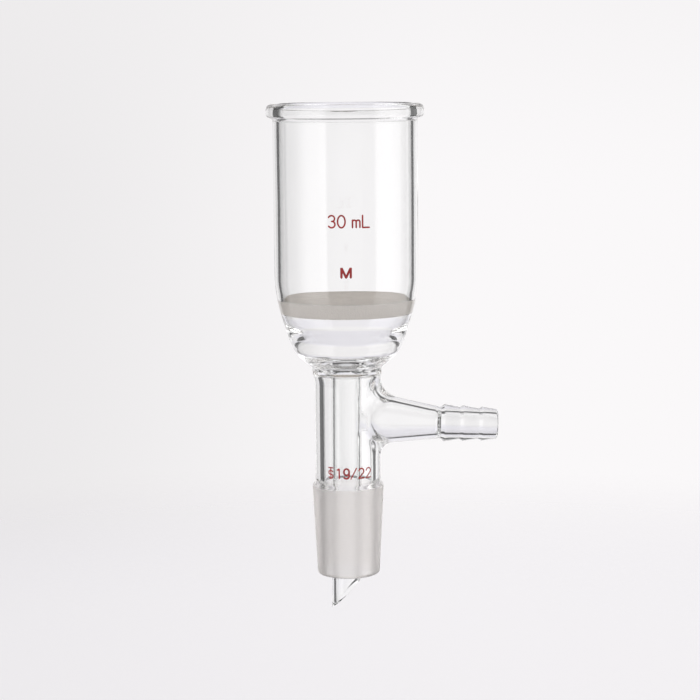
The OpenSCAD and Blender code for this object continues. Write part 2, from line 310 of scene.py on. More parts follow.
def even_rows(path, first, last, rows):
    """path with the part between two heights replaced by equal steps of height.

    The radius at each new height comes from the straight sides of path.
    """
    rising = path if last > first else path[::-1]
    z = np.linspace(first, last, rows + 1)
    new = np.stack([np.interp(z, rising[:, 1], rising[:, 0]), z], 1)
    low, high = min(first, last), max(first, last)
    before = path[(path[:, 1] < low) if last > first else (path[:, 1] > high)]
    after = path[(path[:, 1] > high) if last > first else (path[:, 1] < low)]
    return np.concatenate([before, new, after]), len(before)


def inset(a, b, c, t):
    """Point t inside the corner b, square to both of its sides."""
    u, v = unit(a - b), unit(c - b)
    return b + unit(u + v) * t / math.sin(math.acos(u @ v) / 2)


def funnel_profile(cup, stem):
    """Four open paths of [r, z] that close into the section of the turned body.

    inside goes up the drip tube, bowl, seat and cup; outside comes down from the rim to the
    end of the cone; up and down are the walls of the gap round the drip tube.
    """
    cup_bore = cup.cup_r - cup.cup_wall
    disc_top = cup.disc_z + cup.disc_t
    disc_r = cup_bore - cup.seat_step
    drip_bore = stem.drip_r - stem.drip_wall
    shank_bore = stem.shank_r - stem.shank_wall
    joint_r = stem.joint_d / 2
    tip_r = joint_r - stem.joint_taper * stem.joint_len / 2
    joint_end = -stem.joint_len - stem.joint_foot
    tip_z = joint_end - stem.drip_drop
    seal_r = stem.shank_r + stem.seal_out
    knee = np.array([cup.cup_r, cup.disc_z + cup.knee_up])
    bowl = np.array([cup.cup_r - cup.bowl_draw, stem.seal_z + cup.bowl_rise])
    seal = np.array([seal_r, stem.seal_z])
    ring_r, ring_z = inset(knee, bowl, seal, cup.bowl_wall) - cup.ring_in
    bead_r = cup.cup_r + cup.bead_out
    bead_z = cup.rim_z - cup.bead_h
    shank_z = stem.seal_z - SHANK_LOW
    gap_top = stem.seal_z - stem.seal_t
    inside = [
        [drip_bore, tip_z, ROUND.tip],
        [drip_bore, stem.seal_z - MOUTH_LOW, ROUND.mouth],
        [seal_r - FLOOR_IN, stem.seal_z + FLOOR_UP, ROUND.floor],
        [ring_r, ring_z, ROUND.ring],
        [ring_r + cup.ring_in * RING_LOST, ring_z + cup.ring_h, ROUND.ring_top],
        [disc_r - UNDER_IN, cup.disc_z - UNDER_LOW, ROUND.under_disc],
        [disc_r, cup.disc_z, ROUND.disc],
        [disc_r, disc_top, ROUND.disc],
        [cup_bore, disc_top + cup.seat_draw, ROUND.seat],
        [cup_bore, cup.rim_z, ROUND.rim],
    ]
    outside = [
        [bead_r, cup.rim_z, ARC_ROOM * cup.bead_h],
        [bead_r, bead_z, ARC_ROOM * cup.bead_h],
        [cup.cup_r, bead_z - BEAD_DROP, ROUND.under_bead],
        [*knee, ROUND.knee],
        [*bowl, ROUND.bowl],
        [*seal, ROUND.seal],
        [seal_r, stem.seal_z - SEAL_BAND, ROUND.seal_foot],
        [stem.shank_r, shank_z, ROUND.shank],
        [stem.shank_r, stem.shoulder_h, ROUND.shoulder],
        [joint_r, stem.lip_h, ROUND.lip],
        [joint_r, 0, ROUND.lip_foot],
        [tip_r, -stem.joint_len, 0],
        [tip_r - stem.joint_foot * stem.joint_taper / 2, joint_end, stem.joint_round],
    ]
    up = [
        [shank_bore, joint_end, ROUND.cone_mouth],
        [shank_bore, shank_z, ROUND.shank],
        [shank_bore + GAP_FLARE, gap_top, ROUND.gap],
    ]
    down = [[stem.drip_r, gap_top, ROUND.drip_root], [stem.drip_r, tip_z, ROUND.tip]]
    arcs = rounded(inside + outside + up + down)
    ends = np.cumsum([0, len(inside), len(outside), len(up), len(down)])
    parts = [np.concatenate(arcs[a:b]) for a, b in zip(ends[:-1], ends[1:])]
    return [filled(np.concatenate([p, q[:1]]), SIDE_STEP)[:-1]
            for p, q in zip(parts, parts[1:] + parts[:1])]


# Grids

def quads(rings, wrap):
    """Faces between neighbouring rows of an index array; wrap joins its last and first columns."""
    a = rings[:-1]
    b = rings[1:]
    if wrap:
        a, b = np.concatenate([a, a[:, :1]], 1), np.concatenate([b, b[:, :1]], 1)
    return np.stack([a[:, :-1], a[:, 1:], b[:, 1:], b[:, :-1]], -1).reshape(-1, 4)


def new_mesh(name, points, faces, slots=None):
    """A smooth mesh object from points in millimetres and four-cornered faces.

    A face at a pole has a corner twice, one after the other, and is made with three corners.
    """
    kept = faces != np.roll(faces, 1, 1)
    counts = kept.sum(1).astype(np.int32)
    mesh = bpy.data.meshes.new(name)
    mesh.vertices.add(len(points))
    mesh.vertices.foreach_set("co", (np.asarray(points) * MM).astype(np.float32).ravel())
    mesh.loops.add(int(counts.sum()))
    mesh.loops.foreach_set("vertex_index", faces[kept].astype(np.int32))
    mesh.polygons.add(len(faces))
    mesh.polygons.foreach_set("loop_start", np.cumsum(counts, dtype=np.int32) - counts)
    mesh.polygons.foreach_set("loop_total", counts)
    mesh.polygons.foreach_set("use_smooth", np.ones(len(faces), bool))
    if slots is not None:
        mesh.polygons.foreach_set("material_index", slots.astype(np.int32))
    mesh.update(calc_edges=True)
    if mesh.validate():
        raise RuntimeError(f"the mesh {name} had faces that Blender had to mend")
    made = bpy.data.objects.new(name, mesh)
    bpy.context.scene.collection.objects.link(made)
    return made


def volume(points, faces):
    """Signed volume of a closed mesh: the sum of p0 . (p1 x p2) / 6 over its triangles."""
    p = points[faces]
    first = np.einsum("ij,ij->i", p[:, 0], np.cross(p[:, 1], p[:, 2]))
    second = np.einsum("ij,ij->i", p[:, 0], np.cross(p[:, 2], p[:, 3]))
    return (first + second).sum() / 6


def check_closed(name, faces):
    """Stops unless every edge is used once in each direction."""
    ends = np.stack([faces, np.roll(faces, -1, 1)], -1).reshape(-1, 2)
    ends = ends[ends[:, 0] != ends[:, 1]]
    there = np.unique(ends, axis=0)
    back = np.unique(ends[:, ::-1], axis=0)
    if len(there) != len(ends) or not np.array_equal(there, back):
        raise RuntimeError(f"the mesh {name} isn't closed")


# The blown body

AROUND = 200                    # columns round the funnel
ARM_HALF, ARM_ROWS = 37, 40     # columns on each side of the arm's window, and its rows
GAP_HALF, GAP_ROWS = 45, 24     # the same for the window in the gap
OUTER_WINDOW = (30.4, 6.4)      # heights of the window outside, down the wall
INNER_WINDOW = (6.6, 28.7)      # and of the one in the gap, up the wall
WALL_TOP = 31.5                 # height up to which the shank's own wall reaches
PATCH, FILLET, CONE = 9, 12, 12     # rings of a patch, steps of a fillet and rings of a cone
GROUND_OVER = 0.5               # the ground zone's end over the cone's large end
GROUND_OFF = 0.25               # and its end over the cone's small end
WAVES = (                       # times round, height per radian, start and size
    (2, 13, 0.7, 1.0), (3, -8.3, 2.1, 0.7), (5, 5.9, 4.0, 0.5), (1, 3.1, 1.3, 0.4))
WAVE_SUM = 1.6                  # what their sum is divided by
WAVE_FROM, WAVE_FOOT = 33, 8    # height where the waves begin, and height over which they grow
WAVE_HEAD, WAVE_TOP = 1, 6      # distance under the rim where they end, and where they fade
INNER_PHASE = 0.9               # turn of the waves inside against those outside
TUBE_LOW = 2                    # ring seal to the part of the drip tube that the cut moves
CUT_REACH = 24                  # length of tube over which the cut's slant fades
LEAN_TOP, LEAN_FADE = 36, 6     # height where the lean ends, and height over which it fades
LEAN_SHIFT, LEAN_Z = 0.36, 8    # sideways shift of the drip tube, and the height of it
SLOPE_STEPS = 2000              # places where a wall's radius and slope are worked out


def drooped(v, droop):
    """Points of the arm's frame turned by the droop about Y."""
    c, s = math.cos(droop), math.sin(droop)
    return np.stack([v[..., 0] * c + v[..., 2] * s, v[..., 1], v[..., 2] * c - v[..., 0] * s], -1)


def blend(a, side, top, under):
    """side * cos^2 a + top or under * sin^2 a, for the upper or lower half."""
    return side * np.cos(a) ** 2 + np.where(np.sin(a) > 0, top, under) * np.sin(a) ** 2


def polar(psi, radius, z):
    """Points at an angle, a radius and a height."""
    return np.stack([radius * np.cos(psi), radius * np.sin(psi), z], -1)


def branch_rings(arm, wall_r, end_x, end_r, fillets, a, slope):
    """Edge, fillet rings and neck ring of a branch off the wall.

    Each line of the branch is a generator r = end_r + k (end_x - x), met by the wall's
    cylinder in closed form. A cubic Bezier with handles of 4/3 tan(turn/4) rounds the corner
    and leaves the wall along its own surface, whose slope dr/dz is given by slope(z).
    """
    k = blend(a, arm.flare_side, arm.flare_top, arm.flare_under)
    rad = blend(a, *fillets)
    base = end_r + k * end_x
    p = math.cos(arm.droop) - k * np.sin(a) * math.sin(arm.droop)
    q = base * np.sin(a) * math.sin(arm.droop)
    aa = p * p + (k * np.cos(a)) ** 2
    bb = p * q - base * k * np.cos(a) ** 2
    cc = q * q + (base * np.cos(a)) ** 2 - wall_r ** 2
    x = (np.sqrt(bb * bb - aa * cc) - bb) / aa
    corner = drooped(
        np.stack([x, (base - k * x) * np.cos(a), (base - k * x) * np.sin(a)], -1), arm.droop)
    inward = drooped(
        unit(np.stack([-np.ones_like(a), k * np.cos(a), k * np.sin(a)], -1)), arm.droop)
    normal = np.stack([corner[:, 0], corner[:, 1], 0 * a], -1) / wall_r
    out = drooped(np.stack([0 * a, np.cos(a), np.sin(a)], -1), arm.droop)
    along = unit(out - np.einsum("ij,ij->i", out, normal)[:, None] * normal)
    turn = np.arccos(np.einsum("ij,ij->i", inward, along))
    reach, handle = rad * np.tan(turn / 2), rad * 4 / 3 * np.tan(turn / 4)
    psi = np.arctan2(corner[:, 1], corner[:, 0])
    side = along[:, 1] * np.cos(psi) - along[:, 0] * np.sin(psi)
    edge_psi = psi + side * reach / wall_r
    edge_z = corner[:, 2] + along[:, 2] * reach + arm.arm_z
    edge_r, edge_slope = slope(edge_z)
    edge = polar(edge_psi, edge_r, edge_z)
    way = unit(
        side[:, None] * np.stack([-np.sin(edge_psi), np.cos(edge_psi), 0 * a], -1)
        + along[:, 2:] * polar(edge_psi, edge_slope, np.ones_like(a)))
    lift = np.array([0, 0, arm.arm_z])
    start = corner - inward * reach[:, None] + lift
    h = handle[:, None]
    t = np.linspace(0, 1, FILLET + 1)[:, None, None]
    rings = (edge * (1 - t) ** 3 + 3 * (edge - way * h) * t * (1 - t) ** 2
             + 3 * (start + inward * h) * t * t * (1 - t) + start * t ** 3)
    neck = drooped(
        np.stack([np.full_like(a, end_x), end_r * np.cos(a), end_r * np.sin(a)], -1),
        arm.droop) + lift
    t = np.linspace(0, 1, CONE)[1:, None, None]
    return edge_psi, edge_z, np.concatenate([rings, start + (neck - start) * t])


def barb_path(arm):
    """Outline [x, r] of the barb, from the neck over the teeth, round the end and down the bore."""
    first = arm.neck_x + BARB_LEAD + arm.tooth_back
    end = first + arm.teeth * arm.pitch - BARB_SHORT
    corners = [[arm.neck_x, arm.neck_r, 0]]
    for i in range(arm.teeth):
        crest = arm.crest_r - arm.crest_step * i
        foot = arm.neck_r if i == 0 else crest - arm.tooth_rise
        x = first + i * arm.pitch
        corners += [[x - arm.tooth_back, foot, BARB_ROUND.foot], [x, crest, BARB_ROUND.crest]]
    last = arm.crest_r - arm.crest_step * (arm.teeth - 1) - END_IN
    hollow = arm.neck_r - arm.wall
    corners += [
        [end, last, BARB_ROUND.end],
        [end, arm.bore_r + CHAMFER, BARB_ROUND.chamfer],
        [end - CHAMFER, arm.bore_r, BARB_ROUND.mouth],
        [arm.neck_x, arm.bore_r, BARB_ROUND.bore],
        [arm.neck_x - BORE_FLARE, hollow, BARB_ROUND.flare],
        [arm.neck_x - NECK_BACK, hollow, 0]]
    return filled(np.concatenate(rounded(corners, closed=False)), BARB_STEP)


def window(grid, row, rows, half):
    """Indices round a window of a turned grid, from one corner along the columns and back."""
    cols = np.arange(-half, half + 1) % AROUND
    return np.concatenate([
        grid[row, cols][:-1], grid[row:row + rows, cols[-1]],
        grid[row + rows, cols][:0:-1], grid[row + 1:row + rows + 1, cols[0]][::-1]])


def patch_rings(theta, z, edge_psi, edge_z, slope):
    """Rings that pass from the window's edge to the branch's edge on the turned wall.

    Angle and height go evenly from one to the other, and the radius is the wall's at that height.
    """
    t = np.linspace(0, 1, PATCH + 1)[1:-1, None]
    psi, level = theta * (1 - t) + edge_psi * t, z * (1 - t) + edge_z * t
    return polar(psi, slope(level)[0], level)


def wall_slope(path):
    """A function that gives radius and slope dr/dz of a path at given heights."""
    order = np.argsort(path[:, 1])
    z, r = path[order, 1], path[order, 0]
    dense = np.linspace(z[0], z[-1], SLOPE_STEPS)
    radius = np.interp(dense, z, r)
    rate = np.gradient(radius, dense)
    return lambda at: (np.interp(at, dense, radius), np.interp(at, dense, rate))


def blown_wave(theta, z, amount):
    """Slow wander of a blown wall: sums of sines of angle and height, about amount in size."""
    return amount / WAVE_SUM * sum(
        size * np.sin(times_round * theta + z / rise + start)
        for times_round, rise, start, size in WAVES)


def turned_body(parts, cup, stem, wave):
    """Grid of points of the section turned about Z, one row for each of its points.

    The blown walls wander a little. The slanting cut moves each point of the drip tube along
    its own line of the wall, and the tube leans sideways under the ring seal.
    """
    path = np.concatenate(parts)
    rows = np.arange(len(path))
    inside = (rows < len(parts[0]))[:, None]
    down = (rows >= len(path) - len(parts[3]))[:, None]
    theta = 2 * math.pi * np.arange(AROUND) / AROUND
    level = np.repeat(path[:, 1:], AROUND, 1)
    around = np.repeat(theta[None], len(path), 0)
    fade = (np.clip((level - WAVE_FROM) / WAVE_FOOT, 0, 1)
            * np.clip((cup.rim_z - WAVE_HEAD - level) / WAVE_TOP, 0, 1))
    wander = blown_wave(around + np.where(inside, INNER_PHASE, 0), level, wave)
    points = polar(around, path[:, :1] + fade * wander, level)
    tube = down | (inside & (path[:, 1:] < stem.seal_z - TUBE_LOW))
    rise = (points[..., 0] + stem.drip_r) * math.tan(stem.drip_cut)
    end = path[:, 1].min() + CUT_REACH
    points[..., 2] += tube * rise * np.clip((end - points[..., 2]) / CUT_REACH, 0, 1)
    loose = down | (inside & (points[..., 2] < LEAN_TOP))
    hold = np.clip((LEAN_TOP - points[..., 2]) / LEAN_FADE, 0, 1)
    lean = LEAN_SHIFT + (LEAN_Z - points[..., 2]) * stem.drip_lean
    points[..., 0] -= loose * lean * hold * hold * (3 - 2 * hold)
    return points


def window_edge(points, grid, row, rows, half):
    """Indices, angles and heights round one window of the turned grid."""
    ids = window(grid, row, rows, half)
    spots = points.reshape(-1, 3)[ids]
    return ids, np.arctan2(spots[:, 1], spots[:, 0]), spots[:, 2]


def side_arm(arm, stem, outer_edge, inner_edge, outer_wall, inner_wall):
    """Rings of the side arm, from its window outside to its window in the gap.

    They are patch, fillet and cone, then the barb out and its bore back, then the hollow's
    cone, fillet and patch. Each point keeps its own angle about the arm, and the angles pass
    evenly from those of the outer window to those of the inner one along the barb.
    """
    shank_bore = stem.shank_r - stem.shank_wall
    theta, z = outer_edge
    inner_theta, inner_z = inner_edge
    a = np.arctan2(z - arm.arm_z, theta * stem.shank_r)
    inner_a = np.arctan2(inner_z - arm.arm_z, inner_theta * shank_bore)
    fillets = (arm.fillet_side, arm.fillet_top, arm.fillet_under)
    roots = (arm.root_side, arm.root_top, arm.root_under)
    psi, edge_z, outer = branch_rings(
        arm, stem.shank_r, arm.neck_x, arm.neck_r, fillets, a, outer_wall)
    inner_psi, inner_edge_z, inner = branch_rings(
        arm, shank_bore, arm.neck_x - NECK_BACK, arm.neck_r - arm.wall, roots, inner_a, inner_wall)
    barb = barb_path(arm)
    step = (inner_a - a + math.pi) % (2 * math.pi) - math.pi
    turn = a + step * np.linspace(0, 1, len(barb))[:, None]
    along = np.repeat(barb[:, :1], turn.shape[1], 1)
    tube = drooped(np.stack([along, barb[:, 1:] * np.cos(turn), barb[:, 1:] * np.sin(turn)], -1),
                   arm.droop) + np.array([0, 0, arm.arm_z])
    return np.concatenate([
        patch_rings(theta, z, psi, edge_z, outer_wall), outer, tube[1:-1], inner[::-1],
        patch_rings(inner_theta, inner_z, inner_psi, inner_edge_z, inner_wall)[::-1]])


def glass_shell(cup, stem, arm, wave):
    """Points, faces and material numbers of the whole blown body.

    Two windows of the turned grid, one outside and one in the gap, are left open and joined
    by the rings of the side arm. Number 1 is the ground zone of the cone.
    """
    inside, outside, up, down = funnel_profile(cup, stem)
    outside, outer_row = even_rows(outside, *OUTER_WINDOW, ARM_ROWS)
    up, inner_row = even_rows(up, *INNER_WINDOW, GAP_ROWS)
    outer_wall, inner_wall = wall_slope(outside[outside[:, 1] < WALL_TOP]), wall_slope(up)
    parts = (inside, outside, up, down)
    points = turned_body(parts, cup, stem, wave)
    outer_row += len(inside)
    inner_row += len(inside) + len(outside)
    grid = np.arange(points.shape[0] * AROUND).reshape(-1, AROUND)
    opened = np.zeros(grid.shape, bool)
    opened[outer_row:outer_row + ARM_ROWS, np.arange(-ARM_HALF, ARM_HALF) % AROUND] = True
    opened[inner_row:inner_row + GAP_ROWS, np.arange(-GAP_HALF, GAP_HALF) % AROUND] = True
    body = quads(np.concatenate([grid, grid[:1]]), True).reshape(*grid.shape, 4)[~opened]
    z = np.concatenate(parts)[:, 1]
    middle = (z + np.roll(z, -1)) / 2
    rows = np.arange(len(z))
    ground = ((rows >= len(inside)) & (rows < len(inside) + len(outside))
              & (middle < GROUND_OVER) & (middle > GROUND_OFF - stem.joint_len - stem.joint_foot))
    slots = np.repeat(ground[:, None], AROUND, 1)[~opened]
    outer_ids, *outer_edge = window_edge(points, grid, outer_row, ARM_ROWS, ARM_HALF)
    inner_ids, *inner_edge = turned_to_match(
        *window_edge(points, grid, inner_row, GAP_ROWS, GAP_HALF))
    new = side_arm(arm, stem, outer_edge, inner_edge, outer_wall, inner_wall)
    ids = grid.size + np.arange(new.shape[0] * new.shape[1]).reshape(new.shape[:2])
    branch = quads(np.concatenate([outer_ids[None], ids, inner_ids[None]]), True)
    flat = np.concatenate([points.reshape(-1, 3), new.reshape(-1, 3)])
    faces = np.concatenate([body, branch])
    used, number = np.unique(faces, return_inverse=True)
    slots = np.concatenate([slots, np.zeros(len(branch), bool)])
    return flat[used], number.reshape(faces.shape), slots


def turned_to_match(ids, theta, z):
    """The gap's window listed the same way round as the outer one.

    The outer rows go down and the inner rows go up, so the list is reversed and started at
    the corner that lies at the least angle and the greatest height.
    """
    ids, theta, z = ids[::-1], theta[::-1], z[::-1]
    first = int(np.argmax(z * 10 - theta))
    return np.roll(ids, -first), np.roll(theta, -first), np.roll(z, -first)


# Materials

PORES = 2600.0                  # pores of the disc in a metre
PAINTED_LIGHT_SOFT = 0.35                 # width over which the disc's rim turns paler


def material(name):
    """A new material with its node tree, its main shader and its output."""
    made = bpy.data.materials.new(name)
    made.use_nodes = True
    tree = made.node_tree
    tree.nodes.clear()
    main = tree.nodes.new("ShaderNodeBsdfPrincipled")
    out = tree.nodes.new("ShaderNodeOutputMaterial")
    tree.links.new(main.outputs["BSDF"], out.inputs["Surface"])
    return made, tree, main


def add(tree, kind, inputs=None, **settings):
    """A node with its settings and with each input linked to a socket or set to a value."""
    made = tree.nodes.new(kind)
    for key, value in settings.items():
        setattr(made, key, value)
    for key, value in (inputs or {}).items():
        if isinstance(value, bpy.types.NodeSocket):
            tree.links.new(value, made.inputs[key])
        else:
            made.inputs[key].default_value = value
    return made


def maths(tree, operation, a, b=0.0):
    """Output of a Math node."""
    return add(tree, "ShaderNodeMath", {0: a, 1: b}, operation=operation).outputs[0]


def times(tree, a, b):
    """Product of two numbers."""
    return maths(tree, "MULTIPLY", a, b)


def most(tree, a, b):
    """Greater of two numbers."""
    return maths(tree, "MAXIMUM", a, b)


def over(tree, a, limit):
    """One where a number is over a limit, and otherwise nothing."""
    return maths(tree, "GREATER_THAN", a, limit)


def ramp(tree, value, low, high, out_low=0.0, out_high=1.0):
    """value brought smoothly from the range low to high to out_low to out_high."""
    return add(tree, "ShaderNodeMapRange", {
        "Value": value, "From Min": low, "From Max": high, "To Min": out_low, "To Max": out_high,
    }, interpolation_type="SMOOTHSTEP").outputs["Result"]


def mix(tree, factor, a, b):
    """Colour between a and b."""
    made = add(tree, "ShaderNodeMix", {"Factor": factor}, data_type="RGBA")
    for socket, value in ((made.inputs[6], a), (made.inputs[7], b)):
        if isinstance(value, bpy.types.NodeSocket):
            tree.links.new(value, socket)
        else:
            socket.default_value = (*value, 1) if len(value) == 3 else value
    return made.outputs[2]


def scaled(colour_, by, warm=1.0):
    """A colour times a number, with its red and green also times warm."""
    return tuple(min(1.0, c * by * w) for c, w in zip(colour_, (warm, warm, 1.0)))


def grain_group():
    """Group with fine grain over broad patches, as a mask and a height.

    Position is stretched along Z by Stretch, and the grain is fine noise times Fine plus
    broad noise times Broad.
    """
    found = bpy.data.node_groups.get("funnel grain")
    if found:
        return found
    tree = bpy.data.node_groups.new("funnel grain", "ShaderNodeTree")
    for name, default in (("Size", 0.0004), ("Stretch", 1.0), ("Broad", 0.4)):
        tree.interface.new_socket(
            name, in_out="INPUT", socket_type="NodeSocketFloat").default_value = default
    tree.interface.new_socket("Mask", in_out="OUTPUT", socket_type="NodeSocketFloat")
    tree.interface.new_socket("Height", in_out="OUTPUT", socket_type="NodeSocketFloat")
    head, tail = tree.nodes.new("NodeGroupInput"), tree.nodes.new("NodeGroupOutput")
    place = tree.nodes.new("ShaderNodeTexCoord").outputs["Object"]
    ratio = maths(tree, "DIVIDE", 1.0, head.outputs["Size"])
    tall = times(tree, ratio, head.outputs["Stretch"])
    size = add(tree, "ShaderNodeCombineXYZ", {0: ratio, 1: ratio, 2: tall}).outputs[0]
    spot = add(tree, "ShaderNodeVectorMath", {0: place, 1: size}, operation="MULTIPLY").outputs[0]
    fine = add(tree, "ShaderNodeTexNoise", {"Vector": spot, "Scale": 1.0, "Detail": 3.0})
    wide = add(tree, "ShaderNodeTexNoise", {"Vector": spot, "Scale": 0.12, "Detail": 2.0})
    mask = mix_value(tree, head.outputs["Broad"], fine.outputs["Fac"], wide.outputs["Fac"])
    tree.links.new(mask, tail.inputs["Mask"])
    tree.links.new(fine.outputs["Fac"], tail.inputs["Height"])
    return tree


def mix_value(tree, factor, a, b):
    """Number between a and b."""
    return add(tree, "ShaderNodeMix", {0: factor, 2: a, 3: b}, data_type="FLOAT").outputs[0]


def grain(tree, size, stretch, broad):
    """Mask and height of the grain group with its own values, size in millimetres."""
    made = add(tree, "ShaderNodeGroup", node_tree=grain_group())
    made.inputs["Size"].default_value = size * MM
    made.inputs["Stretch"].default_value = stretch
    made.inputs["Broad"].default_value = broad
    return made.outputs["Mask"], made.outputs["Height"]


def bump(tree, main, value, distance):
    """A height in millimetres that feeds the shader's Normal."""
    made = add(tree, "ShaderNodeBump", {"Height": value, "Distance": distance * MM})
    tree.links.new(made.outputs["Normal"], main.inputs["Normal"])


def glassy(name, finish):
    """A material of plain glass, with its tree and its shader."""
    made, tree, main = material(name)
    main.inputs["IOR"].default_value = finish.index
    main.inputs["Transmission Weight"].default_value = 1.0
    return made, tree, main


def clear_glass(finish):
    """Blown glass: clear, with the faintest handling marks in its gloss."""
    made, tree, main = glassy("clear_glass", finish)
    mask, rise = grain(tree, size=5.0, stretch=0.5, broad=0.5)
    tone = ramp(tree, mask, 0.35, 0.7)
    tree.links.new(mix(tree, tone, finish.clear, scaled(finish.clear, 1.012)),
                   main.inputs["Base Color"])
    tree.links.new(ramp(tree, mask, 0.52, 0.8, 0.0, 0.03), main.inputs["Roughness"])
    bump(tree, main, rise, 0.004)
    return made


def ground_glass(finish):
    """Ground zone: frosted, with fine grit, faint rings from the grinding and painted shade where
    it is seen at a slant.
    """
    made, tree, main = glassy("ground_glass", finish)
    mask, rise = grain(tree, size=0.16, stretch=1.6, broad=0.3)
    rings, ring_rise = grain(tree, size=1.2, stretch=9.0, broad=0.2)
    both = maths(tree, "ADD", times(tree, mask, 0.5), times(tree, rings, 0.5))
    tint = mix(tree, ramp(tree, both, 0.35, 0.65), scaled(finish.ground, 0.96),
               scaled(finish.ground, 1.03))
    # Painted shade: where the frosted skin is seen at a slant, its colour is painted darker.
    facing = add(tree, "ShaderNodeLayerWeight", {"Blend": 0.5}).outputs["Facing"]
    aslant_shade = ramp(tree, facing, 0.05, 0.75, 0.0, finish.aslant_shade_share)
    tree.links.new(mix(tree, aslant_shade, tint, finish.aslant_shade), main.inputs["Base Color"])
    tree.links.new(ramp(tree, rings, 0.3, 0.7, finish.ground_rough - 0.05,
                        finish.ground_rough + 0.06), main.inputs["Roughness"])
    bump(tree, main, maths(tree, "ADD", rise, times(tree, ring_rise, 0.6)), 0.03)
    return made


def sinter(finish):
    """Sintered glass: pale granules with small dark pores between them, and painted light that
    makes its rim paler.
    """
    made, tree, main = material("sintered_glass")
    mask, rise = grain(tree, size=0.34, stretch=1.0, broad=0.35)
    place = tree.nodes.new("ShaderNodeTexCoord").outputs["Object"]
    cells = add(tree, "ShaderNodeTexVoronoi", {"Vector": place, "Scale": PORES})
    edge = ramp(tree, cells.outputs["Distance"], 0.25, 0.75)
    tone = mix(tree, ramp(tree, mask, 0.3, 0.7), scaled(finish.sinter, 0.9),
               scaled(finish.sinter, 1.12))
    tone = mix(tree, times(tree, edge, 0.35), tone, scaled(finish.sinter, 0.62))
    # Painted light: the disc's rim is painted paler, so that its edge looks more lit.
    flat = add(tree, "ShaderNodeVectorMath", {0: place, 1: (1, 1, 0)}, operation="MULTIPLY")
    out = add(tree, "ShaderNodeVectorMath", {0: flat.outputs[0]}, operation="LENGTH")
    rim = ramp(tree, out.outputs["Value"], (finish.painted_light_r - PAINTED_LIGHT_SOFT) * MM, finish.painted_light_r * MM,
               0.0, 0.85)
    tree.links.new(mix(tree, rim, tone, finish.painted_light), main.inputs["Base Color"])
    main.inputs["Roughness"].default_value = 0.72
    bump(tree, main, maths(tree, "SUBTRACT", rise, times(tree, edge, 0.5)), 0.08)
    return made


def enamel(marks):
    """Fired enamel: deep red, a little thin and uneven in the line."""
    made, tree, main = material("red_enamel")
    mask, rise = grain(tree, size=0.22, stretch=1.0, broad=0.45)
    tone = ramp(tree, mask, 0.36, 0.66)
    tree.links.new(mix(tree, tone, scaled(marks.ink, 0.78), scaled(marks.ink, 1.3)),
                   main.inputs["Base Color"])
    tree.links.new(ramp(tree, mask, 0.3, 0.7, 0.34, 0.52), main.inputs["Roughness"])
    bump(tree, main, rise, 0.02)
    return made


# Disc

DISC_LAP = 0.08                 # how far the disc's edge lies inside the wall
DISC_SOFT = 0.3                 # rounding of its edges
DISC_AROUND = 360               # columns round it
DISC_ROWS, EDGE_ROWS = 54, 14   # rows of a face, and of its edge
POLE_R, POLE_IN = 0.25, 0.01    # radius of the innermost row, and how deep the middle lies
GRAIN_SEED = 19
GRAIN_BLUR = 14                 # how much the broad noise is smoothed
GRAIN_H = 0.05                  # depth of the grains
CALM_EDGE, CALM_MIDDLE = 1.0, 1.5   # widths over which the grains fade


def disc_mesh(cup):
    """Points and faces of the sintered disc.

    Rows go out over the top, down the edge and in under the bottom. Grains lift the two faces
    by seeded noise at two scales, which fades at the edge and at the middle.
    """
    edge = cup.cup_r - cup.cup_wall - cup.seat_step + DISC_LAP
    top, low = cup.disc_z + cup.disc_t, cup.disc_z
    flat_r = edge - DISC_SOFT
    out = np.linspace(POLE_R, flat_r, DISC_ROWS)
    turn = np.linspace(0, math.pi / 2, 6)
    side = np.linspace(top - DISC_SOFT, low + DISC_SOFT, EDGE_ROWS)[1:-1]
    r = np.concatenate([out, flat_r + DISC_SOFT * np.sin(turn[1:]), np.full(len(side), edge),
                        flat_r + DISC_SOFT * np.cos(turn), out[::-1][1:]])
    z = np.concatenate([np.full(len(out), top), top - DISC_SOFT + DISC_SOFT * np.cos(turn[1:]),
                        side, low + DISC_SOFT - DISC_SOFT * np.sin(turn),
                        np.full(len(out) - 1, low)])
    seeds = np.random.default_rng(GRAIN_SEED)
    shape = (len(r), DISC_AROUND)
    fine = seeds.standard_normal(shape)
    fine = (fine + np.roll(fine, 1, 1) + np.roll(fine, 1, 0)) / 3
    wide = seeds.standard_normal(shape)
    spread = np.exp(-0.5 * (np.fft.fftfreq(shape[1]) * GRAIN_BLUR)[None] ** 2
                    - 0.5 * (np.fft.fftfreq(shape[0]) * GRAIN_BLUR)[:, None] ** 2)
    wide = np.fft.ifft2(np.fft.fft2(wide) * spread).real
    wide /= wide.std()
    calm = np.clip((flat_r - r) / CALM_EDGE, 0, 1) * np.clip(r / CALM_MIDDLE, 0, 1)
    way = np.where(z > (top + low) / 2, -1.0, 1.0)
    lift = calm[:, None] * np.clip(0.5 + 0.35 * fine + 0.25 * wide, 0, 1.4)
    theta = 2 * math.pi * np.arange(DISC_AROUND) / DISC_AROUND
    points = polar(theta[None] + 0 * r[:, None], r[:, None] + 0 * theta,
                   z[:, None] + way[:, None] * lift * GRAIN_H).reshape(-1, 3)
    poles = np.array([[0, 0, top - POLE_IN], [0, 0, low + POLE_IN]])
    first, last = np.full((2, 1, DISC_AROUND), len(points)) + np.array([0, 1])[:, None, None]
    grid = np.arange(len(points)).reshape(shape)
    return np.concatenate([points, poles]), quads(np.concatenate([first, grid, last]), True)


# Marks

SAME_POINT = 1e-6               # points closer than this are one
LINE_STEP = 0.12                # step along a printed line
CAP_ROWS, CAP_END = 5, 0.12     # rows of a line's end, and share of its width at the tip
CROWN, CROWN_EDGE = 7, 0.96     # points across a line, and share of its half width they span
CAP_LOW = 0.2                   # least share of the coat at a line's end
SUNK = 0.012                    # how far the coat's underside lies inside the wall
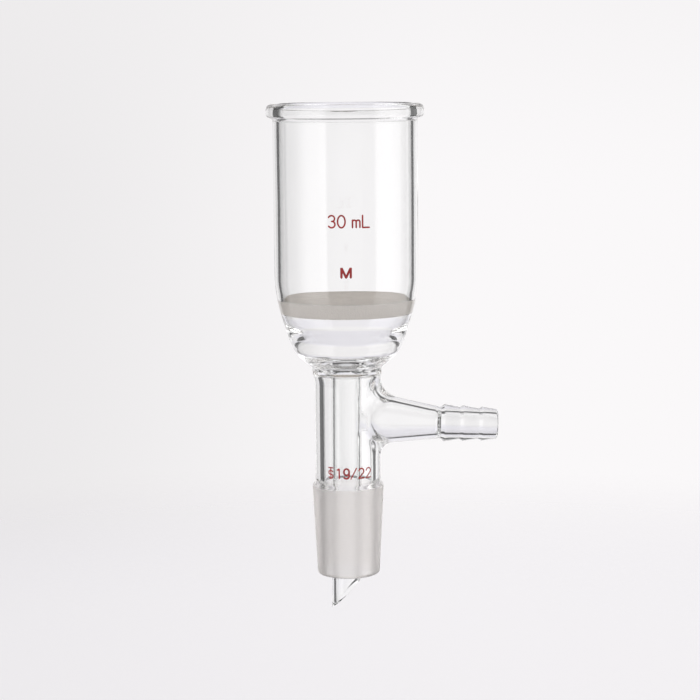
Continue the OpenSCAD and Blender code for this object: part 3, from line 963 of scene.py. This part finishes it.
# Each sign with its left edge from the front, its stretch and its share of the line's width.
VOLUME_SIGNS = (("3", -4.43, 1, 1), ("0", -2.05, 1, 1), ("m", 1.7, 1, 1), ("L", 4.28, 1, 1))
GRADE_SIGNS = (("M", -1.2, 0.86, 1),)
TAPER_SIGNS = (("taper", -5.4, 1.05, 0.8), ("1", -2.95, 1.2, 0.95), ("9", -1.13, 0.95, 1.1),
               ("/", 0.72, 0.95, 0.75), ("2", 2.85, 0.95, 0.95), ("2", 4.98, 0.95, 0.8))


def arc(x, y, rx, ry, start, end, count=13):
    """Points on an ellipse round (x, y), from one angle in degrees to another."""
    t = np.radians(np.linspace(start, end, count))
    return np.stack([x + rx * np.cos(t), y + ry * np.sin(t)], 1)


def joined(*parts):
    """Pieces of one line, end to end."""
    return np.concatenate([np.atleast_2d(np.array(p, float)) for p in parts])


def glyphs():
    """Centre lines of each sign, in a box one high and as wide as its own proportion."""
    return {
        "0": [arc(0.31, 0.5, 0.31, 0.5, 0, 360, 37)],
        "1": [joined([0.02, 0.84], [0.2, 1.0], [0.2, 0.0])],
        "2": [joined(arc(0.3, 0.71, 0.28, 0.29, 172, -32, 15), [0.0, 0.0], [0.6, 0.02])],
        "3": [joined(arc(0.27, 0.75, 0.26, 0.25, 160, -70, 17), [0.28, 0.52]),
              joined([0.28, 0.52], arc(0.27, 0.27, 0.29, 0.27, 72, -150, 17))],
        "9": [arc(0.3, 0.68, 0.28, 0.32, 0, 360, 29),
              joined([0.58, 0.68], arc(0.27, 0.3, 0.31, 0.3, 20, -140, 13))],
        "m": [joined([0.0, 0.62], [0.0, 0.0]),
              joined([0.0, 0.46], arc(0.155, 0.46, 0.155, 0.155, 170, 10, 9), [0.31, 0.0]),
              joined([0.31, 0.46], arc(0.465, 0.46, 0.155, 0.155, 170, 10, 9), [0.62, 0.0])],
        "L": [joined([0.0, 1.0], [0.0, 0.0], [0.58, 0.0])],
        "M": [joined([0.0, 0.0], [0.0, 1.0], [0.55, 0.0], [1.1, 1.0], [1.1, 0.0])],
        "/": [joined([0.0, -0.05], [0.62, 1.05])],
        "taper": [joined([0.0, 1.06], [0.5, 1.06]), joined([0.25, 1.06], [0.25, -0.08]),
                  joined(arc(0.25, 0.58, 0.23, 0.2, 20, 250, 15),
                         arc(0.25, 0.2, 0.23, 0.2, 70, -160, 15))],
    }


def ribbon(line, width, coat):
    """Rows of points round a printed line: a low rounded band that runs along it.

    Each row lies across the line at one of its points: left edge, crown, right edge, underside.
    The band narrows to its two ends along a quarter circle.
    """
    step = np.linalg.norm(np.diff(line, axis=0), axis=1)
    kept = np.append(True, step > SAME_POINT)
    at = np.concatenate([[0], np.cumsum(step)])[kept]
    line = line[kept]
    stations = np.unique(np.concatenate(
        [at, np.linspace(0, at[-1], 3 + int(at[-1] / LINE_STEP))]))
    spot = np.stack([np.interp(stations, at, line[:, 0]), np.interp(stations, at, line[:, 1])], 1)
    way = unit(np.gradient(spot, stations, axis=0))
    cap = width / 2
    lead = np.linspace(0, 1, CAP_ROWS + 1)[:-1]
    reach = cap * (1 - np.sin(lead * math.pi / 2))
    narrow = np.cos((1 - lead) * math.pi / 2)
    narrow[0] = CAP_END
    spot = np.concatenate([spot[:1] - way[:1] * reach[:, None], spot,
                           (spot[-1:] + way[-1:] * reach[:, None])[::-1]])
    half = np.concatenate([narrow, np.ones(len(way)), narrow[::-1]]) * cap
    way = np.concatenate([np.repeat(way[:1], CAP_ROWS, 0), way, np.repeat(way[-1:], CAP_ROWS, 0)])
    across = np.stack([-way[:, 1], way[:, 0]], 1)
    t = np.linspace(-1, 1, CROWN)
    sides = np.concatenate([t, t[::-1][1:-1]])
    lift = np.concatenate([np.sqrt(1 - (t * CROWN_EDGE) ** 2) * coat, np.full(CROWN - 2, -SUNK)])
    flat = spot[:, None] + across[:, None] * (half[:, None] * sides)[..., None]
    grow = np.clip(half / cap, CAP_LOW, 1)[:, None]
    return np.concatenate([flat, np.where(lift > 0, lift * grow, lift)[..., None]], -1)


def mark_mesh(signs, size, low, wall, line_width, coat):
    """Points and faces of printed signs wrapped on a wall.

    A sign's point (u, v) goes to angle u / radius from the front, height v and radius plus the
    coat's lift. Each sign has its left edge, its stretch and its share of the line's width.
    """
    lines = glyphs()
    points, faces, base = [], [], 0
    for sign, left, stretch, share_of_line in signs:
        for line in lines[sign]:
            rows = ribbon(line * [size * stretch, size] + [left, low],
                          line_width * share_of_line, coat)
            theta = rows[..., 0] / wall - math.pi / 2
            points.append(polar(theta, wall + rows[..., 2], rows[..., 1]).reshape(-1, 3))
            grid = base + np.arange(rows.shape[0] * rows.shape[1]).reshape(rows.shape[:2])
            faces.append(quads(grid, True))
            # Each end of the line is closed by faces between its upper and lower points.
            n = rows.shape[1]
            pairs = np.arange(n // 2 - 1)
            for ring in (grid[0][::-1], grid[-1]):
                faces.append(np.stack([ring[pairs], ring[pairs + 1], ring[n - 2 - pairs],
                                       ring[n - 1 - pairs]], -1))
            base += grid.size
    return np.concatenate(points), np.concatenate(faces)


# Studio

# The room is given by the angle round the funnel from straight behind it, in radians, and by the
# upward or sideways part of a direction.
BEHIND = 0.56                   # half of the backdrop's width
RIGHT_END, LEFT_END = 2.27, 2.6             # far ends of the panels
RIGHT_SOFT, LEFT_SOFT = 0.1, 0.07           # and the width of their soft sides
RIGHT_RISE, LEFT_RISE = (0.95, 1.9), (1.5, 2.1)     # angles over which they come up
FOOT, HEAD = (-1.1, -0.8), (0.55, 0.8)      # upward parts of the dark bands below and above
STRIPS = ((0.54, 0.71), (0.86, 0.92))       # dark strips for what passes through the glass
BAND_SOFT, STRIP_SOFT, GAP_SOFT = 0.06, 0.03, 0.04      # soft sides of these and of the gaps
CROSSED = 4                     # surfaces on a straight way through the cup
DEEP_LOSS, DEEPER_LEVEL = 0.9, 1.15     # loss of the front, and level, for the panels deep down
# On the floor, this darker left is painted shade.
LEFT_TO_RIGHT, LEFT_LEVEL = (-0.2, 0.06), 0.862     # where the backdrop lightens, and from what
BOTTOM, TOP = (-0.31, -0.2), (-0.07, 0.06)      # upward parts where it dulls
# Levels it is brought halfway to, with the share of red and green: floor, bottom and top.
FLOOR_SHADE, BOTTOM_SHADE, TOP_SHADE = (0.95, 0.975), (0.88, 0.9), (0.92, 1.0)
FLOOR_ROWS, FLOOR_AROUND = 13, 96       # rows and columns of the floor
FLOOR_FADE = (0.45, 0.97)       # shares of the floor's radius over which it fades
SENSOR, NEAREST = 36, 0.01      # the camera's sensor in millimetres, and its nearest plane
TURNS, MIRRORS = 32, 24         # most times that light may go through glass, and off it


def band(tree, value, low, high, soft):
    """One between low and high, with soft sides of the width soft."""
    return times(tree, ramp(tree, value, low - soft / 2, low + soft / 2),
                 ramp(tree, value, high - soft / 2, high + soft / 2, 1.0, 0.0))


def backdrop(tree, across, rise, pale):
    """Pale colour that lightens from left to right and dulls a little at the top and the bottom.

    across is the sideways part of the direction or place, and rise the upward part or None.
    """
    def dulled(tone, shade):
        """A tone halfway to the pale colour times a level, with its red and green warmed."""
        return mix(tree, 0.5, tone, scaled(pale, *shade))

    found = mix(tree, ramp(tree, across, *LEFT_TO_RIGHT), scaled(pale, LEFT_LEVEL), pale)
    if rise is None:
        return dulled(found, FLOOR_SHADE)
    found = mix(tree, ramp(tree, rise, *BOTTOM, 1.0, 0.0), found, dulled(found, BOTTOM_SHADE))
    return mix(tree, ramp(tree, rise, *TOP), found, dulled(found, TOP_SHADE))


# Operators

def outward(points, faces):
    """faces turned so that the volume is positive."""
    return faces if volume(points, faces) > 0 else faces[:, ::-1]


class FUNNEL_OT_body(bpy.types.Operator):
    """Build the blown glass body: cup, bowl, shank, drip tube, ground cone and side arm"""

    bl_idname = "funnel.body"
    bl_label = "Blown body"

    def execute(self, context):
        finish = values(context, "funnel_finish")
        points, faces, slots = glass_shell(
            values(context, "funnel_cup"), values(context, "funnel_stem"),
            values(context, "funnel_arm"), finish.wave)
        faces = outward(points, faces)
        check_closed("funnel_body", faces)
        made = new_mesh("funnel_body", points, faces, slots)
        made.data.materials.append(clear_glass(finish))
        made.data.materials.append(ground_glass(finish))
        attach(made, "root")
        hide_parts("glass_body")
        return {"FINISHED"}


class FUNNEL_OT_disc(bpy.types.Operator):
    """Build the sintered disc"""

    bl_idname = "funnel.disc"
    bl_label = "Sintered disc"

    def execute(self, context):
        points, faces = disc_mesh(values(context, "funnel_cup"))
        faces = outward(points, faces)
        check_closed("sintered_disc", faces)
        made = new_mesh("sintered_disc", points, faces)
        made.data.materials.append(sinter(values(context, "funnel_finish")))
        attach(made, "root")
        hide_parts("fritted_disc")
        return {"FINISHED"}


class FUNNEL_OT_marks(bpy.types.Operator):
    """Print the enamel marks: volume, grade and the size of the ground cone"""

    bl_idname = "funnel.marks"
    bl_label = "Enamel marks"

    def execute(self, context):
        marks = values(context, "funnel_marks")
        cup_r = values(context, "funnel_cup").cup_r
        shank_r = values(context, "funnel_stem").shank_r
        ink = enamel(marks)
        for name, signs, size, middle, wall, width in (
                ("volume_mark", VOLUME_SIGNS, marks.volume_h, marks.volume_z, cup_r, marks.line),
                ("grade_mark", GRADE_SIGNS, marks.grade_h, marks.grade_z, cup_r, marks.bold),
                ("taper_mark", TAPER_SIGNS, marks.taper_h, marks.taper_z, shank_r, marks.line)):
            points, faces = mark_mesh(signs, size, middle - size / 2, wall, width, marks.coat)
            made = new_mesh(name, points, outward(points, faces))
            made.data.materials.append(ink)
            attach(made, "root")
        return {"FINISHED"}


class FUNNEL_OT_stage(bpy.types.Operator):
    """Set up the camera, the floor and the studio light"""

    bl_idname = "funnel.stage"
    bl_label = "Stage"

    def execute(self, context):
        stage = values(context, "funnel_stage")
        self.camera(context, stage)
        self.floor(stage)
        self.world(context, stage)
        context.scene.view_settings.view_transform = "Standard"
        # Light that is turned back and forth in thick glass needs long paths.
        context.scene.cycles.max_bounces = TURNS
        context.scene.cycles.transmission_bounces = TURNS
        context.scene.cycles.glossy_bounces = MIRRORS
        return {"FINISHED"}

    def camera(self, context, stage):
        """Camera that looks along +Y, pitched down and rolled.

        Its right axis is X cos(roll) - up sin(roll), and its up axis X sin(roll) + up cos(roll).
        """
        view = bpy.data.cameras.new("studio_camera")
        view.lens = stage.lens
        view.sensor_width = SENSOR
        view.clip_start = NEAREST
        made = bpy.data.objects.new("studio_camera", view)
        context.scene.collection.objects.link(made)
        c, s = math.cos(stage.pitch), math.sin(stage.pitch)
        right, up = np.array([1.0, 0, 0]), np.array([0, s, c])
        cr, sr = math.cos(stage.roll), math.sin(stage.roll)
        axes = np.stack([right * cr - up * sr, right * sr + up * cr, np.array([0, -c, s])], 1)
        place = np.eye(4)
        place[:3, :3] = axes
        place[:3, 3] = stage.eye
        made.matrix_world = Matrix(place.tolist())
        context.scene.camera = made

    def floor(self, stage):
        """Round floor whose rows go out from the middle, faded out towards its edge."""
        radius = np.linspace(0, stage.floor_r, FLOOR_ROWS + 1)[1:]
        theta = 2 * math.pi * np.arange(FLOOR_AROUND) / FLOOR_AROUND
        points = polar(theta[None] + 0 * radius[:, None], radius[:, None] + 0 * theta,
                       np.full((len(radius), len(theta)), stage.floor_z))
        flat = np.concatenate([points.reshape(-1, 3), [[0, 0, stage.floor_z]]])
        grid = np.arange(len(flat) - 1).reshape(points.shape[:2])
        middle = np.full((1, len(theta)), len(flat) - 1)
        made = new_mesh("studio_floor", flat, quads(np.concatenate([middle, grid]), True))
        made.data.materials.append(self.floor_finish(stage))

    def floor_finish(self, stage):
        """Matt floor in the backdrop's own colours, with painted shade that makes it darker towards
        its left, clear at its edge.
        """
        made, tree, main = material("studio_floor")
        place = tree.nodes.new("ShaderNodeTexCoord").outputs["Object"]
        spot = add(tree, "ShaderNodeSeparateXYZ", {0: place})
        # Painted shade: the floor is painted darker towards its left, as the light falls on the
        # backdrop.
        tree.links.new(backdrop(tree, spot.outputs["X"], None, stage.pale),
                       main.inputs["Base Color"])
        main.inputs["Roughness"].default_value = 1.0
        main.inputs["Specular IOR Level"].default_value = 0.0
        level = add(tree, "ShaderNodeVectorMath", {0: place, 1: (0, 0, -stage.floor_z * MM)},
                    operation="ADD").outputs[0]
        far = add(tree, "ShaderNodeVectorMath", {0: level}, operation="LENGTH").outputs["Value"]
        reach = ramp(tree, far, *(stage.floor_r * MM * s for s in FLOOR_FADE), 1.0, 0.0)
        # What has passed through the glass looks past the floor into the room.
        path = tree.nodes.new("ShaderNodeLightPath")
        shown = maths(tree, "LESS_THAN", path.outputs["Transmission Depth"], 0.5)
        tree.links.new(times(tree, reach, shown), main.inputs["Alpha"])
        return made

    def world(self, context, stage):
        """Studio in the world, by direction and by what the light met on its way.

        The camera sees the pale backdrop, and light on matt surfaces is even. What has only
        passed through the glass sees the backdrop on every side, and what the glass has turned
        back sees the room.
        """
        world = bpy.data.worlds.new("studio")
        context.scene.world = world
        world.use_nodes = True
        tree = world.node_tree
        tree.nodes.clear()
        way = tree.nodes.new("ShaderNodeTexCoord").outputs["Generated"]
        spot = add(tree, "ShaderNodeSeparateXYZ", {0: way}).outputs
        turn = maths(tree, "ARCTAN2", spot["X"], spot["Y"])
        path = tree.nodes.new("ShaderNodeLightPath").outputs
        pale = backdrop(tree, spot["X"], spot["Z"], stage.pale)
        head = band(tree, spot["Z"], *HEAD, BAND_SOFT)
        through = self.through_glass(tree, stage, turn, head, pale)
        seen = mix(tree, over(tree, path["Transmission Depth"], 0.5), pale, through)
        turned = over(tree, path["Glossy Depth"], 0.5)
        dark = most(tree, self.gaps(tree, stage, turn),
                    most(tree, band(tree, spot["Z"], *FOOT, BAND_SOFT), head))
        room = self.room(tree, stage, turn, turned, path["Transmission Depth"], pale)
        seen = mix(tree, turned, seen, mix(tree, dark, room, (stage.dim,) * 3))
        lit = over(tree, path["Diffuse Depth"], 0.5)
        seen = mix(tree, lit, seen, (stage.light,) * 3)
        sky = add(tree, "ShaderNodeBackground", {"Color": seen, "Strength": 1.0})
        out = tree.nodes.new("ShaderNodeOutputWorld")
        tree.links.new(sky.outputs[0], out.inputs["Surface"])

    def through_glass(self, tree, stage, turn, head, pale):
        """The backdrop on every side, with narrow dark strips that draw the glass's edges."""
        away = maths(tree, "ABSOLUTE", turn)
        near, far = (band(tree, away, *strip, STRIP_SOFT) for strip in STRIPS)
        return mix(tree, most(tree, most(tree, near, far), head), pale, (stage.dim,) * 3)

    def gaps(self, tree, stage, turn):
        """Dark gaps between the backdrop and the panels, on the right and on the left."""
        left = times(tree, turn, -1.0)
        return most(tree, band(tree, turn, BEHIND, stage.gap_right, GAP_SOFT),
                    band(tree, left, BEHIND, stage.gap_left, GAP_SOFT))

    def room(self, tree, stage, turn, turned, passes, pale):
        """The backdrop behind the funnel, a tall soft panel on each side and the plain front.

        Each panel comes up from its gap and is brightest towards the camera. turned is one
        where the glass turned the light back, and passes counts the surfaces it went through.
        """
        left = times(tree, turn, -1.0)
        near = band(tree, maths(tree, "ABSOLUTE", turn), -1.0, BEHIND, GAP_SOFT)
        plain = mix(tree, near, (stage.front,) * 3, pale)
        right_panel = band(tree, turn, stage.gap_right, RIGHT_END, RIGHT_SOFT)
        left_panel = band(tree, left, stage.gap_left, LEFT_END, LEFT_SOFT)
        level = maths(
            tree, "ADD",
            times(tree, right_panel, times(tree, ramp(tree, turn, *RIGHT_RISE),
                                           stage.panel_right - stage.front)),
            times(tree, left_panel, times(tree, ramp(tree, left, *LEFT_RISE),
                                          stage.panel_left - stage.front)))
        # What crossed the whole funnel and turned back there sees the panels dark, and what
        # turned back further on sees them soft.
        deep = times(tree, turned, over(tree, passes, CROSSED - 0.5))
        deeper = times(tree, turned, over(tree, passes, CROSSED + 0.5))
        shade = mix_value(tree, deeper, -DEEP_LOSS * stage.front, DEEPER_LEVEL - stage.front)
        level = mix_value(tree, deep, level,
                          times(tree, most(tree, right_panel, left_panel), shade))
        panels = add(tree, "ShaderNodeCombineXYZ", {0: level, 1: level, 2: level}).outputs[0]
        return add(tree, "ShaderNodeVectorMath", {0: plain, 1: panels},
                   operation="ADD").outputs[0]


class FUNNEL_PT_panel(bpy.types.Panel):
    """Panel that lists the steps and the sizes"""

    bl_idname = "FUNNEL_PT_panel"
    bl_label = "Filter funnel"
    bl_space_type = "VIEW_3D"
    bl_region_type = "UI"
    bl_category = "Funnel"

    def draw(self, context):
        for step in STEPS:
            self.layout.operator(step.bl_idname)
        for name in SETTINGS:
            box = self.layout.box()
            group = getattr(context.scene, name)
            for prop in group.bl_rna.properties:
                if prop.identifier not in ("rna_type", "name"):
                    box.prop(group, prop.identifier)


STEPS = (FUNNEL_OT_stage, FUNNEL_OT_body, FUNNEL_OT_disc, FUNNEL_OT_marks)
CLASSES = (*SETTINGS.values(), *STEPS, FUNNEL_PT_panel)


def register():
    """Register the classes, and put each group of settings on the scene."""
    for kind in CLASSES:
        bpy.utils.register_class(kind)
    for name, kind in SETTINGS.items():
        setattr(bpy.types.Scene, name, bpy.props.PointerProperty(type=kind))


def unregister():
    """Take the settings and the classes away again."""
    for name in SETTINGS:
        delattr(bpy.types.Scene, name)
    for kind in reversed(CLASSES):
        bpy.utils.unregister_class(kind)


def main():
    """Register the add-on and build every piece."""
    register()
    bpy.ops.funnel.stage()
    bpy.ops.funnel.body()
    bpy.ops.funnel.disc()
    bpy.ops.funnel.marks()
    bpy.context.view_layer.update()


if __name__ == "__main__":
    main()
